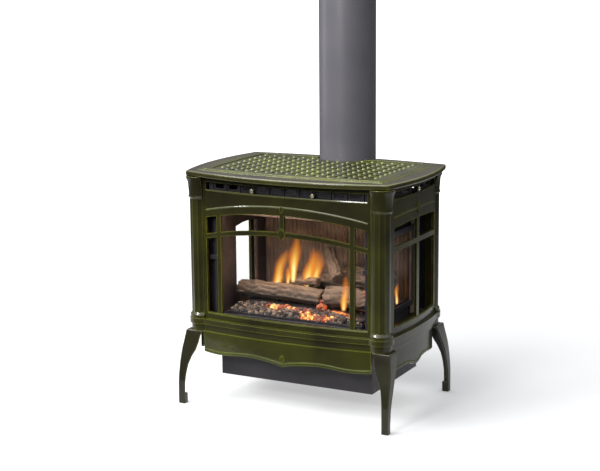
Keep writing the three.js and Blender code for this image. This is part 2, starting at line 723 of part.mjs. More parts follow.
// Pilot hood on its bracket, behind the burner pan.
function pilot() {
  const bracket = block(118, 150, 108, 110, PAN_Z, PAN_Z + 36)
  const foot = block(118, 150, 92, 110, PAN_Z, PAN_Z + 2)
  const tube = rod(3, 30, [128, 102, PAN_Z + 1], [0, 0, 1], 10)
  const hood = rod(6, 8, [128, 102, PAN_Z + 30], [0, 0, 1], 12)
  const probe = rod(2, 42, [142, 103, PAN_Z + 1], [0, 0, 1], 8)
  const bridge = block(126, 144, 100, 109, PAN_Z + 24, PAN_Z + 27)
  return join(bracket, foot, tube, hood, probe, bridge)
}

// ---------------------------------------------------------------- valve box, gas train and controls

const DOOR = { y0: -40, y1: 110, z0: 84, z1: 138, t: 2.4 }
const CONTROL_X = -222                // outer face of the valve bracket
const CONTROL_Z = 111
const INLET_Z = 110
const KNOB_MAIN_Y = -12
const KNOB_FLAME_Y = 34
const BUTTON_Y = 66
const ROCKER_Y = 92

function valveBox() {
  const { x, y0, y1, z0, z1, t } = VALVE
  return cut(
    block(-x, x, y0, y1, z0, z1),
    block(-x + t, x - t, y0 + t, y1 - t, z0 + t, z1 + 10),
    block(-x - 5, -x + 10, DOOR.y0 + 6, DOOR.y1 - 6, DOOR.z0 + 4, DOOR.z1 - 6),
    block(-170, -130, y1 - 10, y1 + 5, 92, 128),
    block(60, 180, y1 - 10, y1 + 5, 150, 190),
  )
}

// Drop-down door under the left skirt, with two knuckles round its hinge pin.
const HINGE = { x: -VALVE.x - 5, z: DOOR.z0 - 1, pin: 2, knuckle: 4 }

function accessDoor() {
  const x1 = -VALVE.x - GAP
  const leafPlate = block(x1 - DOOR.t, x1, DOOR.y0, DOOR.y1, DOOR.z0, DOOR.z1)
  const pull = block(x1 - 12, x1 - DOOR.t + 0.5, 25, 45, DOOR.z1 - 8, DOOR.z1 - 5)
  const places = [DOOR.y0 + 14, DOOR.y1 - 30]
  const knuckles = places.map((y) => rod(HINGE.knuckle, 16, [HINGE.x, y, HINGE.z], [0, 1, 0], 16))
  const tabs = places.map((y) => block(HINGE.x - 2, x1 - 0.2, y, y + 16, HINGE.z, HINGE.z + 3.5))
  const bore = rod(HINGE.pin + GAP, 200, [HINGE.x, DOOR.y0 - 20, HINGE.z], [0, 1, 0], 16)
  return cut(join(leafPlate, pull, ...knuckles, ...tabs), bore)
}

// The pin is carried by two ears standing on a strip fixed to the box wall.
function doorHinge() {
  const x1 = -VALVE.x - GAP
  const pin = rod(HINGE.pin, 142, [HINGE.x, DOOR.y0 + 4, HINGE.z], [0, 1, 0], 16)
  const ears = [DOOR.y0 + 4, DOOR.y1 - 10].map((y) =>
    block(HINGE.x - 3.5, x1, y, y + 6, HINGE.z - 6, HINGE.z + 0.4))
  const strip = block(x1 - 1.2, x1, DOOR.y0 + 4, DOOR.y1 - 4, HINGE.z - 7, HINGE.z - 5)
  return join(pin, strip, ...ears)
}

function valveBracket() {
  const floor = VALVE.z0 + VALVE.t + GAP
  const hole = (y, r) => rod(r, 8, [CONTROL_X - 3, y, CONTROL_Z], [1, 0, 0], 16)
  const face = block(CONTROL_X, CONTROL_X + 2, -50, 110, floor, 142)
  const foot = block(CONTROL_X, CONTROL_X + 50, -50, 110, floor, floor + 2)
  return cut(
    join(face, foot),
    hole(KNOB_MAIN_Y, 3.6),
    hole(KNOB_FLAME_Y, 3.6),
    hole(BUTTON_Y, 4.6),
    block(CONTROL_X - 3, CONTROL_X + 5, ROCKER_Y - 6, ROCKER_Y + 6, CONTROL_Z - 13, CONTROL_Z + 13),
  )
}

function gasValve() {
  const bore = (y) => rod(3.6, 16, [CONTROL_X + 2, y, CONTROL_Z], [1, 0, 0], 16)
  const body = block(CONTROL_X + 2 + GAP, CONTROL_X + 58, -32, 52, CONTROL_Z - 18, CONTROL_Z + 18)
  const head = rod(15, 10, [CONTROL_X + 34, 10, CONTROL_Z + 17], [0, 0, 1], 20)
  const inlet = rod(9, 10, [CONTROL_X + 34, 51, CONTROL_Z], [0, 1, 0], 6)
  return cut(join(body, head, inlet), bore(KNOB_MAIN_Y), bore(KNOB_FLAME_Y))
}

// A knob with its stem; the grip is ribbed so that a turn shows.
function knob(y, radius) {
  const ribs = 10
  const points = []
  for (let i = 0; i < 2 * ribs; i++) {
    const r = i % 2 ? radius : radius - 1.2
    const angle = (Math.PI * i) / ribs
    points.push([y + r * Math.cos(angle), CONTROL_Z + r * Math.sin(angle)])
  }
  const grip = prismX(polygon(points), CONTROL_X - 13, CONTROL_X - GAP)
  const stem = rod(3, 30, [CONTROL_X - 13, y, CONTROL_Z], [1, 0, 0], 16)
  const tip = CONTROL_Z + radius - 2
  const pointer = block(CONTROL_X - 14.5, CONTROL_X - 12.5, y - 1.2, y + 1.2, CONTROL_Z, tip)
  return join(grip, stem, pointer)
}

function igniterButton() {
  return turned([[0, 0], [4, 0], [4, 16], [6.5, 16], [6.5, 21], [5.5, 22], [0, 22]],
    [CONTROL_X + 10, BUTTON_Y, CONTROL_Z], [-1, 0, 0], 16)
}

function rockerSwitch() {
  const section = polygon([
    [CONTROL_X + 10, CONTROL_Z - 9], [CONTROL_X + 10, CONTROL_Z + 9], [CONTROL_X - 1.5, CONTROL_Z + 11],
    [CONTROL_X - 1, CONTROL_Z], [CONTROL_X - 4, CONTROL_Z - 11],
  ])
  return prismY(section, ROCKER_Y - 5, ROCKER_Y + 5)
}

function gasTube() {
  const x = CONTROL_X + 34
  const z = CONTROL_Z + 27 + GAP
  const route = [[x, 10, z], [x, 10, 175], [x + 30, 4, 214], [-90, -8, 226], [-24, -10, 234], [0, -10, 262]]
  return bar(route, 5, 8, 12)
}

function gasInlet() {
  const x = CONTROL_X + 34
  const start = 61 + GAP
  const route = [[x, start, CONTROL_Z], [x, start + 16, CONTROL_Z], [x + 20, 120, CONTROL_Z],
    [-150, 150, INLET_Z], [-150, 212, INLET_Z]]
  const tube = bar(route, 6, 8, 10)
  const nut = rod(12, 16, [-150, 196, INLET_Z], [0, 1, 0], 6)
  return join(tube, nut)
}

// ---------------------------------------------------------------- rear shield and vent

function rearShield() {
  const y = REAR_POST.y - 2
  const half = REAR_POST.x - REAR_POST.flat - SEAM
  const vents = []
  for (const x of [-210, -150, 150, 210]) {
    for (const z of [590, 610]) vents.push(block(x - 20, x + 20, y - 5, y + 5, z, z + 8))
  }
  return cut(
    block(-half, half, y, y + 2, Z_HEARTH + GAP, Z_CASTING_TOP),
    block(-FLUE_BOX.x - 3, FLUE_BOX.x + 3, y - 5, y + 5, FLUE_BOX.z0 - 3, 700),
    ...vents,
  )
}

function flueBox() {
  const { x, y0, y1, z0, z1, t } = FLUE_BOX
  return cut(
    block(-x, x, y0, y1, z0, z1),
    block(-x + t, x - t, y0 + t, y1 - t, z0 + t, z1 - t),
    block(-OUTLET_X, OUTLET_X, y0 - 5, y0 + 10, OUTLET_Z0, OUTLET_Z1),
    rod(PIPE_R - 12, 20, [0, PIPE_Y, z1 - 10], [0, 0, 1], 28),
  )
}

// An open tube standing on the flue box.
function pipe(radius, wall, z0, z1, segments) {
  return turnedZ([[radius - wall, z0], [radius, z0], [radius, z1], [radius - wall, z1], [radius - wall, z0]],
    0, PIPE_Y, segments)
}

// The inner flue carries three spacers that centre it in the outer pipe.
function innerFlue() {
  const tabs = [0, 1, 2].map((i) => {
    const angle = Math.PI / 2 + (2 * Math.PI * i) / 3
    const geometry = new THREE.BoxGeometry(PIPE_R - PIPE_WALL - 1 - FLUE_R, 2, 20)
    geometry.translate((PIPE_R - PIPE_WALL - 1 + FLUE_R) / 2 - 0.5, 0, 0)
    geometry.rotateZ(angle)
    geometry.translate(0, PIPE_Y, PIPE_TOP - 60)
    return toSolid(geometry)
  })
  return join(pipe(FLUE_R, 1.2, FLUE_BOX.z0 + 30, PIPE_TOP - 6, 24), ...tabs)
}

// ---------------------------------------------------------------- build

const stove = new THREE.Group()

function add(name, geometry, look) {
  const mesh = new THREE.Mesh(geometry, look)
  mesh.name = name
  stove.add(mesh)
}

const addSolid = (name, solid, look) => add(name, toGeometry(solid), look)

// A piece made for the right-hand side, and its mirror image.
function addPair(name, solid, look) {
  const geometry = toGeometry(solid)
  add(`${name}_right`, geometry, look())
  add(`${name}_left`, mirrored(geometry, 'x'), look())
}

function buildBody() {
  addSolid('base_casting', hearth(), enamel())
  addPair('post_front', cornerPost(FRONT_POST), enamel)
  addPair('post_rear', flipped(cornerPost(REAR_POST)), enamel)
  addPair('leg_front', flipped(leg()), enamel)
  addPair('leg_rear', leg(), enamel)
  addSolid('front_casting', frontCasting(), enamel())
  addPair('side_casting', sideCasting(), enamel)
  addSolid('skirt_front', frontSkirt(), enamel())
  addPair('skirt', sideSkirt(), enamel)
  addSolid('top_plate', topPlate(), enamel())
  addSolid('top_grille', topGrille(), enamel())
}

function buildLouvres() {
  const z = Z_SLOT_BOTTOM + 9
  const frontSeat = -frontFace(BOLT_X) + 11 - GAP
  const sideSeat = sideFace(SIDE_MID) + 0.1
  addSolid('front_louvre', frontLouvre(), blackSteel())
  addPair('side_louvre', sideLouvre(), blackSteel)
  addPair('front_bolt', castingBolt([BOLT_X, frontSeat, z], [0, -1, 0], 10.6), brassFitting)
  addPair('side_bolt', castingBolt([sideSeat, SIDE_MID, z + 4], [1, 0, 0], 0.5), brassFitting)
}

function buildFirebox() {
  addSolid('firebox', firebox(), blackSteel())
  addSolid('glass_frame', glassFrame(), blackSteel())
  addSolid('glass_front', frontGlass(), glassPane())
  addPair('glass', sideGlass(), glassPane)
  addPair('side_glass_frame', sideGlassFrame(), blackSteel)
  addPair('glass_latch', glassLatch(), blackSteel)
  addSolid('rear_refractory', refractoryPanel(), refractory())
  addSolid('baffle', baffle(), blackSteel())
  addSolid('burner_pan', burnerPan(), blackSteel())
  addSolid('ember_bed', emberBed(), material(0x4a2a1e, 0.95))
  addLogs()
  addSolid('pilot', pilot(), brightSteel())
}

function buildGasTrain() {
  addSolid('valve_box', valveBox(), blackSteel())
  addSolid('access_door', accessDoor(), blackSteel())
  addSolid('door_hinge_pin', doorHinge(), brightSteel())
  addSolid('valve_bracket', valveBracket(), brightSteel())
  addSolid('gas_valve', gasValve(), brightSteel())
  addSolid('control_knob', knob(KNOB_MAIN_Y, 15), plasticBlack())
  addSolid('flame_knob', knob(KNOB_FLAME_Y, 10), plasticBlack())
  addSolid('igniter_button', igniterButton(), material(0x8c1f16, 0.4))
  addSolid('rocker_switch', rockerSwitch(), plasticBlack())
  addSolid('gas_tube', gasTube(), brightSteel())
  addSolid('gas_inlet', gasInlet(), brassFitting())
}

function buildVent() {
  addSolid('rear_shield', rearShield(), blackSteel())
  addSolid('flue_box', flueBox(), blackSteel())
  addSolid('inner_flue', innerFlue(), brightSteel())
  addSolid('outer_pipe', pipe(PIPE_R, PIPE_WALL, PIPE_BOTTOM, PIPE_TOP, 36), pipeSteel())
}

// Half the distance between the bow of the plate in front and the back of the flue box.
const foremost = -PLATE.front - PLATE.bowFront
stove.position.y = -(foremost + FLUE_BOX.y1) / 2

buildBody()
buildLouvres()
buildFirebox()
buildGasTrain()
buildVent()

export default stove
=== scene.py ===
"""Looks of the gas stove: enamelled cast iron, glass, ceramic logs, embers, flames, studio and camera."""

import json
import math
import random

import bpy
import numpy as np
from mathutils import Matrix, Vector, noise
from mathutils.bvhtree import BVHTree


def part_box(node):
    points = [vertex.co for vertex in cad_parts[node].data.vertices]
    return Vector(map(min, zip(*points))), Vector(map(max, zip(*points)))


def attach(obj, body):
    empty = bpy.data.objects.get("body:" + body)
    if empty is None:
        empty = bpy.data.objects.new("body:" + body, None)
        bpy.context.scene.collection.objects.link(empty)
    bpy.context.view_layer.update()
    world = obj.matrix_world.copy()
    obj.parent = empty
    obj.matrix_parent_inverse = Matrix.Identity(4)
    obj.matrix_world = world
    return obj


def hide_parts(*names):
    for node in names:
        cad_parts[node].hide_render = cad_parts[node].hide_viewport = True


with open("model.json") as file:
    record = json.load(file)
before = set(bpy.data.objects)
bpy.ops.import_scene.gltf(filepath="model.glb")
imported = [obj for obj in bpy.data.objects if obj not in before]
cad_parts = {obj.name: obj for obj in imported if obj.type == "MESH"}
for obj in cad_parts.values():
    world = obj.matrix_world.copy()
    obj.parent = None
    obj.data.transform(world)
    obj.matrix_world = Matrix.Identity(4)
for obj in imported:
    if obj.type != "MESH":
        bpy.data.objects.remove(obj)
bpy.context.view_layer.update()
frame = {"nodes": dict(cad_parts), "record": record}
NODES = frame["nodes"]
SLOT_OF = {s["node"]: s["material_slot"] for s in frame["record"]["subparts"]}
SCENE = bpy.context.scene
MM = 0.001

# Y of the middle of the stove's body, half way between the outer faces of its front and rear feet.
MIDDLE_Y = (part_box("leg_front_right")[0].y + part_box("leg_rear_right")[1].y) / 2


# ---------------------------------------------------------------- node helpers


class Look:
    """A node material with one Principled shader and short calls for its patterns."""

    def __init__(self, name, roughness=0.5, metallic=0.0, coat=0.0, coat_roughness=0.05, ior=1.5):
        self.material = bpy.data.materials.new(name)
        self.material.use_nodes = True
        self.tree = self.material.node_tree
        self.tree.nodes.clear()
        self.output = self.node("ShaderNodeOutputMaterial")
        self.shader = self.node("ShaderNodeBsdfPrincipled")
        self.shader.inputs["Roughness"].default_value = roughness
        self.shader.inputs["Metallic"].default_value = metallic
        self.shader.inputs["Coat Weight"].default_value = coat
        self.shader.inputs["Coat Roughness"].default_value = coat_roughness
        self.shader.inputs["IOR"].default_value = ior
        self.link(self.shader.outputs["BSDF"], self.output.inputs["Surface"])
        self.place = self.node("ShaderNodeTexCoord").outputs["Object"]

    def node(self, kind, **settings):
        made = self.tree.nodes.new(kind)
        for key, value in settings.items():
            setattr(made, key, value)
        return made

    def link(self, source, target):
        self.tree.links.new(source, target)

    def stretched(self, scale):
        """Object coordinates, scaled apart along each axis."""
        mapping = self.node("ShaderNodeMapping")
        mapping.inputs["Scale"].default_value = scale
        self.link(self.place, mapping.inputs["Vector"])
        return mapping.outputs["Vector"]

    def cloud(self, scale, detail=4.0, roughness=0.55, stretch=None, distortion=0.0):
        made = self.node("ShaderNodeTexNoise")
        made.inputs["Scale"].default_value = scale
        made.inputs["Detail"].default_value = detail
        made.inputs["Roughness"].default_value = roughness
        made.inputs["Distortion"].default_value = distortion
        self.link(self.stretched(stretch) if stretch else self.place, made.inputs["Vector"])
        return made.outputs["Fac"]

    def cells(self, scale, feature="F1", stretch=None):
        made = self.node("ShaderNodeTexVoronoi", feature=feature)
        made.inputs["Scale"].default_value = scale
        self.link(self.stretched(stretch) if stretch else self.place, made.inputs["Vector"])
        return made.outputs["Distance"]

    def span(self, source, low, high, out_low=0.0, out_high=1.0):
        """A value carried from low..high to out_low..out_high, and held at the ends."""
        made = self.node("ShaderNodeMapRange")
        made.inputs["From Min"].default_value = low
        made.inputs["From Max"].default_value = high
        made.inputs["To Min"].default_value = out_low
        made.inputs["To Max"].default_value = out_high
        self.link(source, made.inputs["Value"])
        return made.outputs["Result"]

    def ramp(self, source, stops):
        """A colour looked up between (position, colour) stops."""
        made = self.node("ShaderNodeValToRGB")
        elements = made.color_ramp.elements
        while len(elements) < len(stops):
            elements.new(0.5)
        for element, (position, colour) in zip(elements, stops):
            element.position = position
            element.color = (*colour, 1.0)
        self.link(source, made.inputs["Fac"])
        return made.outputs["Color"]

    def mix(self, share, first, second):
        made = self.node("ShaderNodeMix", data_type="RGBA")
        self.link(share, made.inputs["Factor"])
        for value, socket in ((first, made.inputs[6]), (second, made.inputs[7])):
            if isinstance(value, tuple):
                socket.default_value = (*value, 1.0)
            else:
                self.link(value, socket)
        return made.outputs[2]

    def maths(self, operation, first, second):
        """A sum, product or power of two values, each an output or a plain number."""
        made = self.node("ShaderNodeMath", operation=operation)
        for value, socket in zip((first, second), made.inputs):
            if isinstance(value, (int, float)):
                socket.default_value = value
            else:
                self.link(value, socket)
        return made.outputs["Value"]

    def edges(self, radius, low=0.0, high=0.12):
        """1 within about radius of an edge, 0 on open faces."""
        bevel = self.node("ShaderNodeBevel", samples=4)
        bevel.inputs["Radius"].default_value = radius
        normal = self.node("ShaderNodeNewGeometry").outputs["Normal"]
        dot = self.node("ShaderNodeVectorMath", operation="DOT_PRODUCT")
        self.link(bevel.outputs["Normal"], dot.inputs[0])
        self.link(normal, dot.inputs[1])
        return self.span(self.maths("SUBTRACT", 1.0, dot.outputs["Value"]), low, high)

    def upward(self, low, high):
        """0 where the surface's upward lean is below low, 1 where it is above high."""
        split = self.node("ShaderNodeSeparateXYZ")
        self.link(self.node("ShaderNodeNewGeometry").outputs["Normal"], split.inputs[0])
        return self.span(split.outputs["Z"], low, high)

    def bump(self, height, distance, strength=1.0):
        """Raises the surface by a height pattern, under its clear coat too."""
        made = self.node("ShaderNodeBump")
        made.inputs["Strength"].default_value = strength
        made.inputs["Distance"].default_value = distance
        self.link(height, made.inputs["Height"])
        self.link(made.outputs["Normal"], self.shader.inputs["Normal"])
        if self.shader.inputs["Coat Weight"].default_value:
            self.link(made.outputs["Normal"], self.shader.inputs["Coat Normal"])

    def colour(self, source):
        self.link(source, self.shader.inputs["Base Color"])

    def rough(self, source):
        self.link(source, self.shader.inputs["Roughness"])

    def attribute(self, name):
        return self.node("ShaderNodeAttribute", attribute_name=name).outputs["Fac"]


# ---------------------------------------------------------------- materials


def enamel(name, pooled, thin, rim, rim_radius=3.2 * MM):
    """Glossy majolica enamel: dark where it pooled, green where it is thin, brightest along its edges."""
    look = Look(name, roughness=0.35, coat=0.34, coat_roughness=0.045)
    look.shader.inputs["Specular IOR Level"].default_value = 0.15
    drift = look.cloud(7, detail=5, distortion=0.4)
    speck = look.cloud(95, detail=3)
    body = look.mix(look.span(drift, 0.36, 0.66), pooled, thin)
    body = look.mix(look.span(speck, 0.6, 0.8, 0.0, 0.35), body, pooled)
    thinned = look.maths("MULTIPLY", look.edges(rim_radius), look.span(drift, 0.3, 0.7, 0.45, 0.9))
    look.colour(look.mix(thinned, body, rim))
    ripple = look.maths("MULTIPLY", look.cloud(240, detail=2), 0.15)
    look.bump(look.maths("ADD", look.cloud(38, detail=2), ripple), 0.0009, 0.5)
    return look.material


def painted(name, dark, light, roughness, grain=900, distance=0.1 * MM, gloss=0.3, spread=0.07):
    """High-temperature paint on sheet steel, with a fine powdery grain and rubbed edges.

    gloss is the strength of its mirror image, spread how far its roughness drifts.
    """
    look = Look(name, roughness=roughness)
    look.shader.inputs["Specular IOR Level"].default_value = gloss
    drift = look.cloud(11, detail=5)
    body = look.mix(look.span(drift, 0.35, 0.7), dark, light)
    rubbed = tuple(min(1.0, 2.4 * c + 0.015) for c in light)
    look.colour(look.mix(look.maths("MULTIPLY", look.edges(0.0012), 0.5), body, rubbed))
    matt = roughness + 1.4 * spread
    look.rough(look.span(look.cloud(45, detail=4), 0.3, 0.75, roughness - spread, matt))
    look.bump(look.cloud(grain, detail=2), distance, 0.6)
    return look.material


def metal(name, colour, roughness, scratch=(1, 1, 30)):
    """Bare or plated metal with fine working marks."""
    look = Look(name, roughness=roughness, metallic=1.0)
    mark = look.cloud(60, detail=4, stretch=scratch)
    tint = tuple(c * 0.72 for c in colour)
    look.colour(look.mix(look.span(mark, 0.35, 0.65), tint, colour))
    look.rough(look.span(look.cloud(130, detail=3), 0.3, 0.7, roughness - 0.08, roughness + 0.12))
    look.bump(mark, 0.0002, 0.4)
    return look.material


def plastic(name, colour, roughness):
    """Moulded plastic with a fine texture."""
    look = Look(name, roughness=roughness)
    look.colour(look.mix(look.cloud(30, detail=3), colour, tuple(c * 1.5 + 0.004 for c in colour)))
    look.bump(look.cloud(1400, detail=1), 0.00008, 0.5)
    return look.material


def clear_glass(name):
    """Ceramic glass: clear straight through, mirror-like at a slant, with a breath of dust."""
    look = Look(name, roughness=0.03)
    tree_out = look.output.inputs["Surface"]
    clear = look.node("ShaderNodeBsdfTransparent")
    clear.inputs["Color"].default_value = (0.985, 0.985, 0.98, 1)
    slant = look.node("ShaderNodeLayerWeight").outputs["Facing"]
    gloss = look.maths("ADD", look.maths("MULTIPLY", look.maths("POWER", slant, 5.0), 0.6), 0.02)
    dust = look.span(look.cloud(6, detail=6), 0.45, 0.85, 0.0, 0.02)
    share = look.node("ShaderNodeMixShader")
    look.shader.inputs["Base Color"].default_value = (0.02, 0.02, 0.02, 1)
    look.rough(look.span(look.cloud(9, detail=4), 0.3, 0.7, 0.02, 0.07))
    look.link(look.maths("ADD", gloss, dust), share.inputs["Fac"])
    look.link(clear.outputs["BSDF"], share.inputs[1])
    look.link(look.shader.outputs["BSDF"], share.inputs[2])
    look.link(share.outputs["Shader"], tree_out)
    return look.material


def log_bark(name, bark, wood, ash):
    """Painted ceramic fibre log: furrowed bark, char in the hollows and pale ash on top."""
    look = Look(name, roughness=0.92)
    furrow = look.attribute("furrow")
    grain = look.cloud(30, detail=8, roughness=0.7, distortion=0.6)
    body = look.mix(look.span(grain, 0.35, 0.68), bark, wood)
    body = look.mix(look.span(furrow, 0.4, 0.1, 0.0, 0.75), body, (0.012, 0.009, 0.008))
    dusted = look.maths("MULTIPLY", look.upward(0.25, 0.95), look.span(look.cloud(22, detail=6), 0.42, 0.7))
    body = look.mix(look.maths("MULTIPLY", dusted, 0.5), body, ash)
    look.colour(body)
    hot = look.span(look.attribute("warmth"), 0.5, 1.0, 0.0, 1.6)
    glow = look.maths("MULTIPLY", hot, look.span(look.cloud(55, detail=5), 0.42, 0.72))
    look.link(look.ramp(look.span(look.cloud(40, detail=3), 0.3, 0.8), [
        (0.0, (0.7, 0.02, 0.004)), (0.6, (1.0, 0.10, 0.01)), (1.0, (1.0, 0.35, 0.05)),
    ]), look.shader.inputs["Emission Color"])
    look.link(glow, look.shader.inputs["Emission Strength"])
    flakes = look.maths("MULTIPLY", look.cells(60), 0.6)
    look.bump(look.maths("ADD", look.cloud(70, detail=8, roughness=0.75), flakes), 0.004, 0.9)
    return look.material


def ember_rock(name):
    """Crushed lava and rock wool: grey and brown lumps, orange to yellow where they glow."""
    look = Look(name, roughness=0.95)
    glow = look.attribute("glow")
    body = look.ramp(look.attribute("shade"), [
        (0.0, (0.012, 0.010, 0.010)), (0.45, (0.036, 0.029, 0.027)),
        (0.8, (0.062, 0.050, 0.043)), (1.0, (0.115, 0.090, 0.070)),
    ])
    look.colour(body)
    vein = look.span(look.cloud(120, detail=5), 0.24, 0.58)
    heat = look.maths("MULTIPLY", glow, vein)
    look.link(look.ramp(heat, [
        (0.0, (0.0, 0.0, 0.0)), (0.2, (0.60, 0.030, 0.003)), (0.5, (1.0, 0.19, 0.012)),
        (0.75, (1.0, 0.48, 0.07)), (1.0, (1.0, 0.78, 0.28)),
    ]), look.shader.inputs["Emission Color"])
    look.link(look.span(heat, 0.05, 1.0, 0.0, 1.8), look.shader.inputs["Emission Strength"])
    look.bump(look.cloud(260, detail=6, roughness=0.7), 0.0015, 0.9)
    return look.material


def flame_light(name):
    """A tongue of flame: yellow-white at the root and the core, orange at the tip, clear at its edges."""
    look = Look(name)
    look.tree.nodes.remove(look.shader)
    wisp = look.cloud(16, detail=3, stretch=(1, 1, 0.3))
    heat = look.maths("MULTIPLY", look.attribute("warmth"), look.span(wisp, 0.25, 0.7, 0.75, 1.15))
    light = look.node("ShaderNodeEmission")
    look.link(look.ramp(heat, [
        (0.0, (0.50, 0.06, 0.004)), (0.3, (1.0, 0.19, 0.010)), (0.55, (1.0, 0.33, 0.022)),
        (0.8, (1.0, 0.54, 0.09)), (1.0, (1.0, 0.85, 0.42)),
    ]), light.inputs["Color"])
    look.link(look.span(heat, 0.0, 1.0, 0.9, 1.7), light.inputs["Strength"])
    clear = look.node("ShaderNodeBsdfTransparent")
    blend = look.node("ShaderNodeMixShader")
    solid = look.maths("MULTIPLY", look.attribute("solid"), look.span(wisp, 0.2, 0.6, 0.65, 1.0))
    look.link(solid, blend.inputs["Fac"])
    look.link(clear.outputs["BSDF"], blend.inputs[1])
    look.link(light.outputs["Emission"], blend.inputs[2])
    look.link(blend.outputs["Shader"], look.output.inputs["Surface"])
    return look.material


def refractory_look(name, dark, light):
    """Fired refractory board with soot in broad drifts."""
    look = Look(name, roughness=0.9)
    body = look.mix(look.span(look.cloud(14, detail=6), 0.35, 0.7), dark, light)
    soot = look.span(look.cloud(4, detail=4), 0.4, 0.7, 0.0, 0.7)
    look.colour(look.mix(soot, body, tuple(0.3 * c for c in dark)))
    look.bump(look.cloud(300, detail=6, roughness=0.7), 0.0008, 0.8)
    return look.material


BODY_DARK = (0.0078, 0.0068, 0.0019)
BODY_THIN = (0.0165, 0.0160, 0.0028)
RIM_GREEN = (0.110, 0.122, 0.014)
BRIGHT_DARK = (0.0092, 0.0082, 0.0009)
BRIGHT_THIN = (0.0180, 0.0190, 0.0010)

LOOKS = {
    "enamel": enamel("enamel_body", BODY_DARK, BODY_THIN, RIM_GREEN),
    "black_steel": painted("black_steel", (0.010, 0.009, 0.011), (0.018, 0.016, 0.019), 0.42),
    "glass": clear_glass("ceramic_glass"),
    "log": log_bark("log_bark", (0.018, 0.0128, 0.0097), (0.050, 0.036, 0.028), (0.060, 0.049, 0.041)),
    "steel": metal("plated_steel", (0.62, 0.61, 0.58), 0.34),
    "brass": metal("dull_brass", (0.62, 0.57, 0.38), 0.30),
    "black_plastic": plastic("black_plastic", (0.012, 0.012, 0.013), 0.45),
    "red_plastic": plastic("red_plastic", (0.42, 0.02, 0.012), 0.3),
    "embers": ember_rock("ember_rock"),
    "refractory": refractory_look("refractory", (0.050, 0.036, 0.030), (0.108, 0.078, 0.062)),
    "pipe": painted("pipe_paint", (0.060, 0.058, 0.066), (0.068, 0.065, 0.073), 0.30,
                    grain=600, distance=0.03 * MM, gloss=0.6, spread=0.015),
}
ENAMEL_RIM = enamel(
    "enamel_rim", (0.010, 0.007, 0.005), (0.019, 0.017, 0.005), (0.10, 0.12, 0.004), 8 * MM)
ENAMEL_BRIGHT = enamel("enamel_bright", BRIGHT_DARK, BRIGHT_THIN, (0.080, 0.100, 0.003), 5 * MM)
ENAMEL_GRILLE = enamel(
    "enamel_grille", (0.008, 0.009, 0.002), (0.024, 0.028, 0.002), (0.105, 0.120, 0.010), 2 * MM)
# The bosses wear an enamel much lighter than the lattice: a painted highlight on the domes.
ENAMEL_BOSS_PAINTED_HIGHLIGHT = enamel(
    "enamel_boss_painted_highlight", (0.044, 0.048, 0.008), (0.105, 0.112, 0.020), (0.17, 0.18, 0.035), 2 * MM)
# The legs wear a darker copy of the body enamel: painted shade, which holds back the light that the floor
# and the lamp under the stove throw on them.
ENAMEL_LEG_PAINTED_SHADE = enamel("enamel_leg", (0.0042, 0.0036, 0.0012), (0.0095, 0.0090, 0.0018), RIM_GREEN, 2.4 * MM)
# Enamels of single parts; the legs' darker copy among them is painted shade.
FINER_ENAMEL = {
    "top_plate": ENAMEL_RIM,
    "top_grille": ENAMEL_GRILLE,
    "skirt_front": ENAMEL_BRIGHT,
    **{name: ENAMEL_LEG_PAINTED_SHADE for name in NODES if name.startswith("leg_")},
}
FLAME = flame_light("flame_light")


def wear(obj, material):
    """Gives an object one material, held by the object and not by its mesh."""
    if not obj.material_slots:
        obj.data.materials.append(None)
    for material_slot in obj.material_slots:
        material_slot.link = "OBJECT"
        material_slot.material = material


# ---------------------------------------------------------------- CAD nodes


def soften(obj, width, segments=2):
    """Rounds a cast or pressed node's edges and smooths its curved faces."""
    for polygon in obj.data.polygons:
        polygon.use_smooth = True
    weld = obj.modifiers.new("weld", "WELD")
    weld.merge_threshold = 0.01 * MM
    merge = obj.modifiers.new("merge", "DECIMATE")
    merge.decimate_type = "DISSOLVE"
    merge.angle_limit = math.radians(0.6)
    bevel = obj.modifiers.new("edge", "BEVEL")
    bevel.width = width
    bevel.segments = segments
    bevel.limit_method = "ANGLE"
    bevel.angle_limit = math.radians(28)
    bevel.use_clamp_overlap = True
    bevel.harden_normals = False
    normals = obj.modifiers.new("normals", "WEIGHTED_NORMAL")
    normals.keep_sharp = True
    normals.weight = 60


CAST_EDGE = 1.8 * MM
WIDE_EDGE = 2.5 * MM
FINE_EDGE = 0.9 * MM
SHEET_EDGE = 0.6 * MM
SHARP_ANGLE = math.radians(32)
PLAIN_SLOTS = ("glass", "log", "embers", "refractory")


def edge_width(node_name):
    """Edge radius of a node: wide on castings, narrow on sheet metal and small fittings."""
    if SLOT_OF[node_name] != "enamel":
        return SHEET_EDGE
    if node_name.startswith(("leg", "base")):
        return WIDE_EDGE
    if node_name.startswith("top"):
        return FINE_EDGE
    return CAST_EDGE


for node_name, obj in NODES.items():
    wear(obj, FINER_ENAMEL.get(node_name, LOOKS[SLOT_OF[node_name]]))
    if SLOT_OF[node_name] not in PLAIN_SLOTS:
        soften(obj, edge_width(node_name))


def smooth(obj, angle=SHARP_ANGLE):
    """Smooth shading that leaves edges sharper than angle alone."""
    obj.data.shade_smooth()
    obj.data.set_sharp_from_angle(angle=angle)


def new_object(name, vertices, faces, material, body="stove"):
    """A piece built from vertices and faces, riding on a CAD body."""
    mesh = bpy.data.meshes.new(name)
    mesh.from_pydata([tuple(v) for v in vertices], [], faces)
    mesh.validate()
    mesh.update()
    obj = bpy.data.objects.new(name, mesh)
    SCENE.collection.objects.link(obj)
    mesh.materials.append(None)
    wear(obj, material)
    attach(obj, body)
    return obj


def tree_of(node_name):
    """A ray-casting tree of a CAD node."""
    mesh = NODES[node_name].data
    return BVHTree.FromPolygons([v.co for v in mesh.vertices], [tuple(p.vertices) for p in mesh.polygons])


